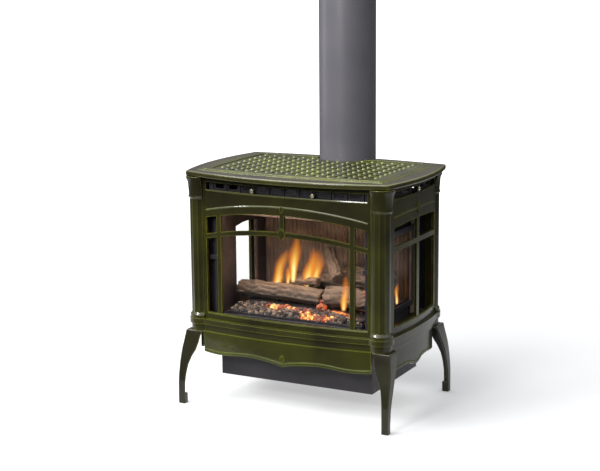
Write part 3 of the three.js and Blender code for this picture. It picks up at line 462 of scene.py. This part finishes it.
def drop(tree, x, y, top):
    """Where a plumb line dropped well above top first meets a tree, or None."""
    return tree.ray_cast(Vector((x, y, top + 1)), Vector((0, 0, -1)))[0]


def add_part(vertices, faces, part):
    """Appends one part's vertices and faces to the lists of a joined mesh."""
    more, ring = part
    faces.extend(tuple(k + len(vertices) for k in face) for face in ring)
    vertices.extend(more)
    return len(more)


# ---------------------------------------------------------------- top lattice bosses

GRILLE_PITCH = 32 * MM
GRILLE_SHIFT = 4 * MM
BOSS_RADIUS = 5.2 * MM
BOSS_HEIGHT = 3.6 * MM
BOSS_ROOT = 0.3 * MM


def dome(centre, radius, height, sides=12, rings=3):
    """A round boss standing on a plane: vertices and faces."""
    vertices = []
    for ring in range(rings):
        slope = math.pi / 2 * ring / rings
        for i in range(sides):
            angle = 2 * math.pi * i / sides
            wide = radius * math.cos(slope)
            point = Vector((wide * math.cos(angle), wide * math.sin(angle), height * math.sin(slope)))
            vertices.append(centre + point)
    vertices.append(centre + Vector((0, 0, height)))
    faces = []
    for ring in range(rings - 1):
        for i in range(sides):
            j = (i + 1) % sides
            a = ring * sides
            faces.append((a + i, a + j, a + sides + j, a + sides + i))
    last = (rings - 1) * sides
    faces.extend((last + i, last + (i + 1) % sides, len(vertices) - 1) for i in range(sides))
    faces.append(tuple(reversed(range(sides))))
    return vertices, faces


def grille_bosses():
    """Domed bosses on every other lattice crossing, wherever the casting has metal enough to carry one."""
    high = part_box("top_grille")[1]
    tree = tree_of("top_grille")
    half = GRILLE_PITCH / 2
    columns = 2 * (int(high.x / GRILLE_PITCH) + 1)
    rows = 16
    probes = [(0, 0), (BOSS_RADIUS, 0), (-BOSS_RADIUS, 0), (0, BOSS_RADIUS), (0, -BOSS_RADIUS)]

    def carries_boss(x, y):
        hits = [drop(tree, x + dx, y + dy, high.z) for dx, dy in probes]
        return all(hit is not None and hit.z > high.z - 0.5 * MM for hit in hits)

    vertices, faces = [], []
    for i in range(1 - columns, columns, 2):
        for j in range(1 - rows, rows, 2):
            x, y = i * half, MIDDLE_Y + GRILLE_SHIFT + j * half
            if not carries_boss(x, y):
                continue
            root = Vector((x, y, high.z - BOSS_ROOT))
            add_part(vertices, faces, dome(root, BOSS_RADIUS, BOSS_HEIGHT))
    # The bosses' enamel is painted light as a highlight.
    obj = new_object("grille_bosses", vertices, faces, ENAMEL_BOSS_PAINTED_HIGHLIGHT, body="grille")
    smooth(obj, math.radians(60))


grille_bosses()


# ---------------------------------------------------------------- firebox lining


def reeded(name, corner, along, up, out, width, height, thickness, pitch, depth, replaces=()):
    """A refractory panel with upright reeds.

    corner is its lower corner, and along, up and out are unit vectors.
    """
    reeds = max(1, round(width / pitch))
    steps = reeds * 8
    rows = 10
    vertices = []
    for layer in (0, 1):
        for row in range(rows + 1):
            for i in range(steps + 1):
                u = i / steps
                wave = abs(math.sin(math.pi * reeds * u)) if layer else 0.0
                lift = thickness * layer - depth * (1 - wave) * layer
                vertices.append(corner + along * (width * u) + up * (height * row / rows) + out * lift)
    stride = steps + 1
    back = stride * (rows + 1)
    faces = []
    for row in range(rows):
        for i in range(steps):
            a = row * stride + i
            faces.append((back + a, back + a + 1, back + a + stride + 1, back + a + stride))
            faces.append((a, a + stride, a + stride + 1, a + 1))
    for i in range(steps):
        top = rows * stride
        faces.append((i, i + 1, back + i + 1, back + i))
        faces.append((top + i + 1, top + i, back + top + i, back + top + i + 1))
    for row in range(rows):
        for edge, flip in ((0, False), (steps, True)):
            a, b = row * stride + edge, (row + 1) * stride + edge
            face = (a, back + a, back + b, b)
            faces.append(tuple(reversed(face)) if flip else face)
    obj = new_object(name, vertices, faces, LOOKS["refractory"])
    smooth(obj, math.radians(50))
    if replaces:
        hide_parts(*replaces)
    return obj


def line_firebox():
    """Reeded panels on the rear wall and on the side walls in front of and behind the side glass."""
    box_low, box_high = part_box("firebox")
    wall = 5 * MM
    lap = 11 * MM
    floor = box_low.z + wall
    height = box_high.z - wall - floor
    right, back, up = Vector((1, 0, 0)), Vector((0, 1, 0)), Vector((0, 0, 1))
    rear_low, rear_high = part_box("rear_refractory")
    reeded("rear_reeded_panel", Vector((rear_low.x, rear_high.y, rear_low.z)), right, up, -back,
           rear_high.x - rear_low.x, rear_high.z - rear_low.z, rear_high.y - rear_low.y, 13 * MM, 4 * MM,
           replaces=["rear_refractory"])
    for side, sign in (("right", 1), ("left", -1)):
        pane_low, pane_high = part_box("glass_" + side)
        x = sign * (box_high.x - wall)
        spans = (
            ("front", box_low.y + wall, pane_low.y + lap),
            ("rear", pane_high.y - lap, rear_low.y - 1 * MM),
        )
        for part, y0, y1 in spans:
            reeded(f"lining_{part}_{side}", Vector((x, y0, floor)), back, up, right * -sign,
                   y1 - y0, height, 7 * MM, 9 * MM, 3.2 * MM)


line_firebox()


# ---------------------------------------------------------------- logs


def main_axis(points):
    """Middle and long direction of a cloud of points."""
    middle = points.mean(0)
    _, _, directions = np.linalg.svd(points - middle, full_matrices=False)
    return middle, directions[0]


def carved(node_name, voxel):
    """A finely meshed copy of a CAD node, with its modifiers applied."""
    mesh = NODES[node_name].data.copy()
    obj = bpy.data.objects.new(node_name + "_rough", mesh)
    SCENE.collection.objects.link(obj)
    remesh = obj.modifiers.new("voxels", "REMESH")
    remesh.mode = "VOXEL"
    remesh.voxel_size = voxel
    relax = obj.modifiers.new("relax", "SMOOTH")
    relax.iterations = 6
    relax.factor = 0.6
    graph = bpy.context.evaluated_depsgraph_get()
    made = bpy.data.meshes.new_from_object(obj.evaluated_get(graph))
    bpy.data.objects.remove(obj)
    return made


# How much faster a drawn-out log end grows thicker than longer, per metre from its axis.
END_SWELL = 10


def fractal(point, octaves):
    """Rough fractal noise about zero."""
    return noise.fractal(point, 0.9, 2.1, octaves)


def set_attribute(mesh, name, values):
    """One number for each vertex, for a material to read."""
    attribute = mesh.attributes.new(name, "FLOAT", "POINT")
    attribute.data.foreach_set("value", np.asarray(values, np.float32))


def carve_log(node_name, furrows, depth, seed, hottest=0.0, reach=0.0):
    """Bark on a CAD log: long furrows that wander along its axis, and swellings.

    hottest is the heat of its glowing patches, reach how much its right-hand end is drawn out.
    """
    mesh = carved(node_name, 2.6 * MM)
    count = len(mesh.vertices)
    points = np.empty(count * 3, np.float32)
    mesh.vertices.foreach_get("co", points)
    points = points.reshape(-1, 3)
    normals = np.array([v.normal for v in mesh.vertices])
    middle, axis = main_axis(points)
    side = np.cross(axis, (0, 0, 1))
    side /= np.linalg.norm(side)
    top = np.cross(side, axis)
    offset = points - middle
    run = offset @ axis
    rightwards = np.sign(axis[0])
    outer = reach * np.clip(run * rightwards, 0, None)[:, None]
    points += outer * (rightwards * axis + END_SWELL * (offset - run[:, None] * axis))
    turn = np.arctan2(offset @ top, offset @ side)
    shift = Vector((seed * 3.7, seed * 1.3, seed * 5.1))
    furrow = np.empty(count)
    heat = np.empty(count)
    for k in range(count):
        p = Vector(points[k]) * 26 + shift
        wander = 1.1 * fractal(Vector((run[k] * 16, 0, seed)), 3) + 0.7 * fractal(p * 0.6, 3)
        ridge = abs(math.sin(furrows * 0.5 * turn[k] + 2.4 * wander))
        crack = fractal(Vector((run[k] * 38, turn[k] * 2.2, seed)) + shift, 4)
        furrow[k] = min(1.0, max(0.0, 0.75 * ridge + 0.35 * crack + 0.15))
        swelling = 0.45 * fractal(p * 0.45, 3)
        points[k] += normals[k] * depth * (furrow[k] - 0.75 + swelling)
        heat[k] = hottest * max(0.0, 0.6 + 1.2 * fractal(p * 0.35, 2))
    mesh.vertices.foreach_set("co", points.ravel())
    set_attribute(mesh, "furrow", furrow)
    set_attribute(mesh, "warmth", np.clip(heat, 0, 1))
    mesh.update()
    obj = bpy.data.objects.new(node_name + "_bark", mesh)
    SCENE.collection.objects.link(obj)
    mesh.materials.clear()
    mesh.materials.append(None)
    wear(obj, LOOKS["log"])
    smooth(obj, math.radians(75))
    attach(obj, "stove")
    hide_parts(node_name)
    return obj


carve_log("log_front", 9, 4.2 * MM, 1)
carve_log("log_right", 10, 4.6 * MM, 2, hottest=0.75)
carve_log("log_back", 10, 4.6 * MM, 3, reach=0.07)
carve_log("log_leaning", 8, 4.5 * MM, 4)
carve_log("log_middle", 7, 4 * MM, 5)


# ---------------------------------------------------------------- embers


def lump(centre, radius, rng):
    """A broken stone: an uneven rounded block."""
    vertices, faces = [], []
    rings, sides = 4, 6
    stretch = Vector((rng.uniform(0.7, 1.35), rng.uniform(0.7, 1.3), rng.uniform(0.6, 1.0)))
    turn = Matrix.Rotation(rng.uniform(0, math.tau), 3, "Z")
    spin = turn @ Matrix.Rotation(rng.uniform(-0.7, 0.7), 3, "X")
    vertices.append(Vector((0, 0, -1)))
    for ring in range(1, rings):
        polar = math.pi * ring / rings
        for i in range(sides):
            angle = 2 * math.pi * (i + 0.5 * (ring % 2)) / sides
            jitter = rng.uniform(0.78, 1.2)
            wide = math.sin(polar)
            spoke = Vector((wide * math.cos(angle), wide * math.sin(angle), -math.cos(polar)))
            vertices.append(spoke * jitter)
    vertices.append(Vector((0, 0, 1)))
    for i in range(sides):
        j = (i + 1) % sides
        faces.append((0, 1 + j, 1 + i))
        faces.append((len(vertices) - 1, len(vertices) - 1 - sides + i, len(vertices) - 1 - sides + j))
        for ring in range(rings - 2):
            a = 1 + ring * sides
            faces.append((a + i, a + j, a + sides + j, a + sides + i))
    placed = [centre + spin @ Vector([v[k] * stretch[k] * radius for k in range(3)]) for v in vertices]
    return placed, faces


# Glowing patches of the bed: x and y from the middle of the body, half width, half depth and heat.
HOT_PATCHES = (
    (-0.084, -0.100, 0.027, 0.013, 1.10),
    (-0.022, -0.096, 0.029, 0.012, 1.10),
    (0.020, -0.110, 0.016, 0.011, 0.95),
    (0.044, -0.128, 0.028, 0.012, 1.15),
    (0.098, -0.126, 0.024, 0.013, 1.20),
    (0.108, -0.082, 0.048, 0.014, 0.80),
    (0.165, -0.105, 0.018, 0.013, 0.75),
)


def glow_at(x, y):
    """How hot the bed is at a place."""
    hottest = 0.0
    for px, py, rx, ry, heat in HOT_PATCHES:
        away = ((x - px) / rx) ** 2 + ((y - MIDDLE_Y - py) / ry) ** 2
        hottest = max(hottest, heat * math.exp(-away ** 1.4))
    return hottest


LOG_NAMES = ("log_front", "log_right", "log_back", "log_middle", "log_leaning")
STONE_TRIES = 3400
PILE_COUNT = 46
PILE_X = 66 * MM
PILE_Y = MIDDLE_Y - 100 * MM
CLEAR_OF_LOG = 30 * MM


def ember_stones():
    """Broken stones over the bed, and a small pile of red embers between the two front logs.

    A try that lands where a log lies over the bed leaves no stone.
    """
    low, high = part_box("ember_bed")
    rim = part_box("burner_pan")[1].z
    bed = tree_of("ember_bed")
    logs = [tree_of(name) for name in LOG_NAMES]
    rng = random.Random(11)
    vertices, faces, glow, shade = [], [], [], []
    for _ in range(STONE_TRIES):
        x = rng.uniform(low.x - 8 * MM, high.x + 8 * MM)
        y = rng.uniform(low.y - 6 * MM, high.y - 2 * MM)
        hit = drop(bed, x, y, high.z)
        ground = hit.z if hit else rim - 1 * MM
        covers = [drop(tree, x, y, high.z) for tree in logs]
        if any(cover is not None and cover.z > ground + CLEAR_OF_LOG for cover in covers):
            continue
        near = (y - low.y) / (high.y - low.y)
        radius = rng.uniform(3.0, 8.0 if near < 0.4 else 6.5) * MM
        top = ground + rng.uniform(-0.2, 0.7) * radius
        count = add_part(vertices, faces, lump(Vector((x, y, top)), radius, rng))
        heat = glow_at(x, y) * rng.choice((0.35, 0.7, 1.0, 1.0, 1.15))
        glow.extend([min(1.0, heat)] * count)
        shade.extend([rng.random() ** 1.3] * count)
    for _ in range(PILE_COUNT):
        share = rng.random()
        spread = 17 * MM * (1.15 - share)
        x = PILE_X + rng.uniform(-spread, spread)
        y = PILE_Y + rng.uniform(-0.5, 0.5) * spread + 12 * MM * share
        place = Vector((x, y, high.z + (32 * share - 6) * MM))
        count = add_part(vertices, faces, lump(place, rng.uniform(4, 7.5) * MM, rng))
        heat = 0.5 * min(1.0, 2.2 * share) * rng.choice((0.4, 0.9, 1.0))
        glow.extend([heat] * count)
        shade.extend([rng.random() * 0.5] * count)
    obj = new_object("ember_stones", vertices, faces, LOOKS["embers"])
    set_attribute(obj.data, "glow", glow)
    set_attribute(obj.data, "shade", shade)
    smooth(obj, math.radians(38))


def ember_crust():
    """The bed under the stones, with an uneven top."""
    mesh = carved("ember_bed", 3 * MM)
    glow, shade = [], []
    for vertex in mesh.vertices:
        co = vertex.co
        if vertex.normal.z > 0.3:
            co.z += 2.2 * MM * fractal(co * 60, 4)
        glow.append(glow_at(co.x, co.y) * (0.7 + noise.noise(co * 45)))
        shade.append(0.28 + 0.3 * noise.noise(co * 70))
    crust = bpy.data.objects.new("ember_bed_crust", mesh)
    SCENE.collection.objects.link(crust)
    mesh.materials.clear()
    mesh.materials.append(None)
    set_attribute(mesh, "glow", np.clip(glow, 0, 1))
    set_attribute(mesh, "shade", np.clip(shade, 0, 1))
    wear(crust, LOOKS["embers"])
    smooth(crust, math.radians(60))
    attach(crust, "stove")
    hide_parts("ember_bed")


ember_stones()
ember_crust()


# ---------------------------------------------------------------- flames


def flame(name, root, height, width, lean, sway, seed, sheets=2):
    """One tongue of flame, made of crossed soft-edged sheets about a bent centre line."""
    across, along = 12, 30
    vertices, faces, heat, solid = [], [], [], []
    for sheet in range(sheets):
        facing = math.pi * sheet / sheets + 0.42
        direction = Vector((math.cos(facing), math.sin(facing), 0))
        body = 0.95 if sheet == 0 else 0.45
        start = len(vertices)
        for row in range(along + 1):
            v = row / along
            wander = sway * math.sin(2.6 * v * math.pi + seed) * v
            centre = root + Vector((lean.x * v ** 1.3 + wander, lean.y * v, height * v))
            ragged = 1 + 0.16 * math.sin(8 * v + 2 * seed + sheet)
            profile = width * (0.5 + 1.5 * v) * (1 - v ** 2.2) ** 0.8 * ragged
            for column in range(across + 1):
                u = 2 * column / across - 1
                vertices.append(centre + direction * (profile * u))
                core = max(0.0, 1 - abs(u) ** 1.7)
                heat.append(core ** 0.8 * (1.12 - 0.72 * v))
                solid.append(core ** 0.9 * min(1.0, 12 * v + 0.3) * (1 - v ** 1.6) * body)
        stride = across + 1
        for row in range(along):
            for column in range(across):
                a = start + row * stride + column
                faces.append((a, a + 1, a + stride + 1, a + stride))
    obj = new_object(name, vertices, faces, FLAME)
    set_attribute(obj.data, "warmth", np.clip(heat, 0, 1))
    set_attribute(obj.data, "solid", np.clip(solid, 0, 1))
    smooth(obj, math.radians(120))
    obj.visible_shadow = False
    return obj


FLAME_WATTS = 3


def flames():
    """Tongues that rise from behind the front log, beside the leaning log and from the front of the bed."""
    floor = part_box("ember_bed")[1].z
    middle_row = MIDDLE_Y - 20 * MM
    front_row = MIDDLE_Y - 112 * MM
    # Name, x, y, rise above the bed, height, width, lean, sway and phase.
    rows = (
        ("flame_left", -0.119, middle_row, 0.026, 0.126, 0.0200, 0.034, 0.004, 0.4),
        ("flame_middle", -0.063, middle_row, 0.052, 0.150, 0.0180, 0.012, 0.003, 1.7),
        ("flame_right", -0.018, middle_row, 0.042, 0.122, 0.0190, 0.026, 0.004, 2.6),
        ("flame_right_lobe", 0.002, middle_row + 10 * MM, 0.044, 0.112, 0.0200, 0.016, 0.005, 4.1),
        ("flame_low", -0.084, middle_row + 8 * MM, 0.044, 0.060, 0.0120, 0.008, 0.003, 5.0),
        ("flame_front", 0.144, front_row, 0.010, 0.104, 0.0130, 0.008, 0.002, 3.3),
        ("flame_side", 0.233, MIDDLE_Y + 54 * MM, 0.002, 0.066, 0.0070, -0.004, 0.002, 0.9),
    )
    for name, x, y, rise, height, width, lean, sway, seed in rows:
        root = Vector((x, y, floor + rise))
        flame(name, root, height, width, Vector((lean, 0.004)), sway, seed)
        if name in ("flame_low", "flame_right_lobe"):
            continue
        lamp = bpy.data.lights.new(name + "_glow", "POINT")
        lamp.energy = FLAME_WATTS * height
        lamp.color = (1.0, 0.5, 0.16)
        lamp.shadow_soft_size = 0.02
        holder = bpy.data.objects.new(name + "_glow", lamp)
        holder.location = root + Vector((lean * 0.5, -0.028, height * 0.45))
        holder.visible_glossy = False
        SCENE.collection.objects.link(holder)


flames()


# ---------------------------------------------------------------- studio


def area(name, location, target, size, energy, colour=(1, 1, 1), size_y=None):
    """A rectangular lamp aimed at a target, size wide and size_y high."""
    lamp = bpy.data.lights.new(name, "AREA")
    lamp.shape = "RECTANGLE"
    lamp.size = size
    lamp.size_y = size_y or size
    lamp.energy = energy
    lamp.color = colour
    holder = bpy.data.objects.new(name, lamp)
    holder.location = location
    holder.rotation_euler = (Vector(target) - Vector(location)).to_track_quat("-Z", "Y").to_euler()
    SCENE.collection.objects.link(holder)
    return holder


def around(azimuth, elevation, distance, height=0.4):
    """A point at an azimuth from the stove's front towards its right-hand side, in degrees."""
    a, e = math.radians(azimuth), math.radians(elevation)
    flat = distance * math.cos(e)
    return Vector((flat * math.sin(a), -flat * math.cos(a), height + distance * math.sin(e)))


PAPER_WHITE = 1.55


def backdrop():
    """A soft overhead sky for light and reflections, and white paper behind everything."""
    world = bpy.data.worlds.new("studio")
    SCENE.world = world
    world.use_nodes = True
    tree = world.node_tree
    tree.nodes.clear()
    out = tree.nodes.new("ShaderNodeOutputWorld")
    sky = tree.nodes.new("ShaderNodeBackground")
    paper = tree.nodes.new("ShaderNodeBackground")
    paper.inputs["Color"].default_value = (1, 1, 1, 1)
    paper.inputs["Strength"].default_value = PAPER_WHITE
    split = tree.nodes.new("ShaderNodeSeparateXYZ")
    place = tree.nodes.new("ShaderNodeTexCoord")
    tree.links.new(place.outputs["Generated"], split.inputs[0])

    def rise(low, high, amount):
        """Light that grows from nothing to amount as a direction's height goes from low to high."""
        made = tree.nodes.new("ShaderNodeMapRange")
        made.interpolation_type = "SMOOTHSTEP"
        for key, value in (("From Min", low), ("From Max", high), ("To Min", 0.0), ("To Max", amount)):
            made.inputs[key].default_value = value
        tree.links.new(split.outputs["Z"], made.inputs["Value"])
        return made.outputs["Result"]

    def add(first, second):
        made = tree.nodes.new("ShaderNodeMath")
        tree.links.new(first, made.inputs[0])
        if isinstance(second, float):
            made.inputs[1].default_value = second
        else:
            tree.links.new(second, made.inputs[1])
        return made.outputs["Value"]

    overhead = rise(0.22, 0.7, 2.4)
    horizon = rise(-0.02, 0.15, 0.12)
    everywhere = 0.08
    tree.links.new(add(add(overhead, horizon), everywhere), sky.inputs["Strength"])
    sky.inputs["Color"].default_value = (0.97, 0.98, 1.0, 1)
    path = tree.nodes.new("ShaderNodeLightPath")
    blend = tree.nodes.new("ShaderNodeMixShader")
    tree.links.new(path.outputs["Is Camera Ray"], blend.inputs["Fac"])
    tree.links.new(sky.outputs["Background"], blend.inputs[1])
    tree.links.new(paper.outputs["Background"], blend.inputs[2])
    tree.links.new(blend.outputs["Shader"], out.inputs["Surface"])


def lamps():
    """Studio lamps at the left, front and top, two warm lamps in the firebox and one under the stove."""
    area("key", around(-42, 40, 4.4), (0, 0, 0.3), 2.4, 200, size_y=0.5)
    area("front", around(-6, 26, 4.2), (0, 0, 0.5), 0.9, 120, size_y=0.7)
    area("top", (-0.7, -0.7, 2.9), (0, 0, 0.5), 2.8, 120, size_y=1.5)
    area("left", around(-84, 10, 3.0, 0.7), (0, 0.18, 1.0), 1.0, 6, size_y=1.6)
    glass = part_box("glass_front")[1]
    behind_glass = glass.y + 13.5 * MM
    over_glass = glass.z + 0.5 * MM
    hearth = area("hearth", (0, behind_glass, over_glass), (0, 0.1, 0.3), 0.42, 4,
                  (1.0, 0.66, 0.42), size_y=0.03)
    glow = area("glow", (0, behind_glass, 0.42), (0, 0, 0.33), 0.40, 1.1, (1.0, 0.80, 0.64), size_y=0.08)
    below = MIDDLE_Y - 20 * MM
    under = area("under", (0, below, 0.07), (0, below, 0), 0.62, 1.5, size_y=0.52)
    for hidden in (hearth, glow, under):
        hidden.visible_camera = False
        hidden.visible_glossy = False


def paper_floor():
    """A pale floor that ends a short way in front of the feet and fades out with distance."""
    wide, near, far = 4.6, 0.72, 4.6
    mesh = bpy.data.meshes.new("floor")
    corners = [(-wide, -near, 0), (wide, -near, 0), (wide, far, 0), (-wide, far, 0)]
    mesh.from_pydata(corners, [], [(0, 1, 2, 3)])
    floor = bpy.data.objects.new("floor", mesh)
    SCENE.collection.objects.link(floor)
    pale = Look("floor_paper", roughness=0.95)
    pale.colour(pale.mix(pale.cloud(2, detail=2), (0.33, 0.33, 0.33), (0.35, 0.35, 0.35)))
    reach = pale.node("ShaderNodeVectorMath", operation="LENGTH")
    pale.link(pale.place, reach.inputs[0])
    pale.link(pale.span(reach.outputs["Value"], 1.5, 2.9, 1.0, 0.0), pale.shader.inputs["Alpha"])
    mesh.materials.append(pale.material)


backdrop()
lamps()
paper_floor()


# ---------------------------------------------------------------- camera

CAMERA_AZIMUTH = math.radians(27.47)
CAMERA_ELEVATION = math.radians(11.43)
CAMERA_ROLL = math.radians(-0.495)
CAMERA_PLACE = Vector((1.8826, -3.7481, 1.3249))

camera_data = bpy.data.cameras.new("camera")
camera_data.sensor_width = 36
camera_data.lens = 88.67
camera_data.clip_end = 40
camera = bpy.data.objects.new("camera", camera_data)
SCENE.collection.objects.link(camera)
back = Vector((
    math.sin(CAMERA_AZIMUTH) * math.cos(CAMERA_ELEVATION),
    -math.cos(CAMERA_AZIMUTH) * math.cos(CAMERA_ELEVATION),
    math.sin(CAMERA_ELEVATION),
))
level = Vector((math.cos(CAMERA_AZIMUTH), math.sin(CAMERA_AZIMUTH), 0))
upright = back.cross(level)
right = level * math.cos(CAMERA_ROLL) + upright * math.sin(CAMERA_ROLL)
top = back.cross(right)
camera.matrix_world = Matrix((
    (right.x, top.x, back.x, CAMERA_PLACE.x),
    (right.y, top.y, back.y, CAMERA_PLACE.y),
    (right.z, top.z, back.z, CAMERA_PLACE.z),
    (0, 0, 0, 1),
))
SCENE.camera = camera
SCENE.view_settings.view_transform = "Standard"
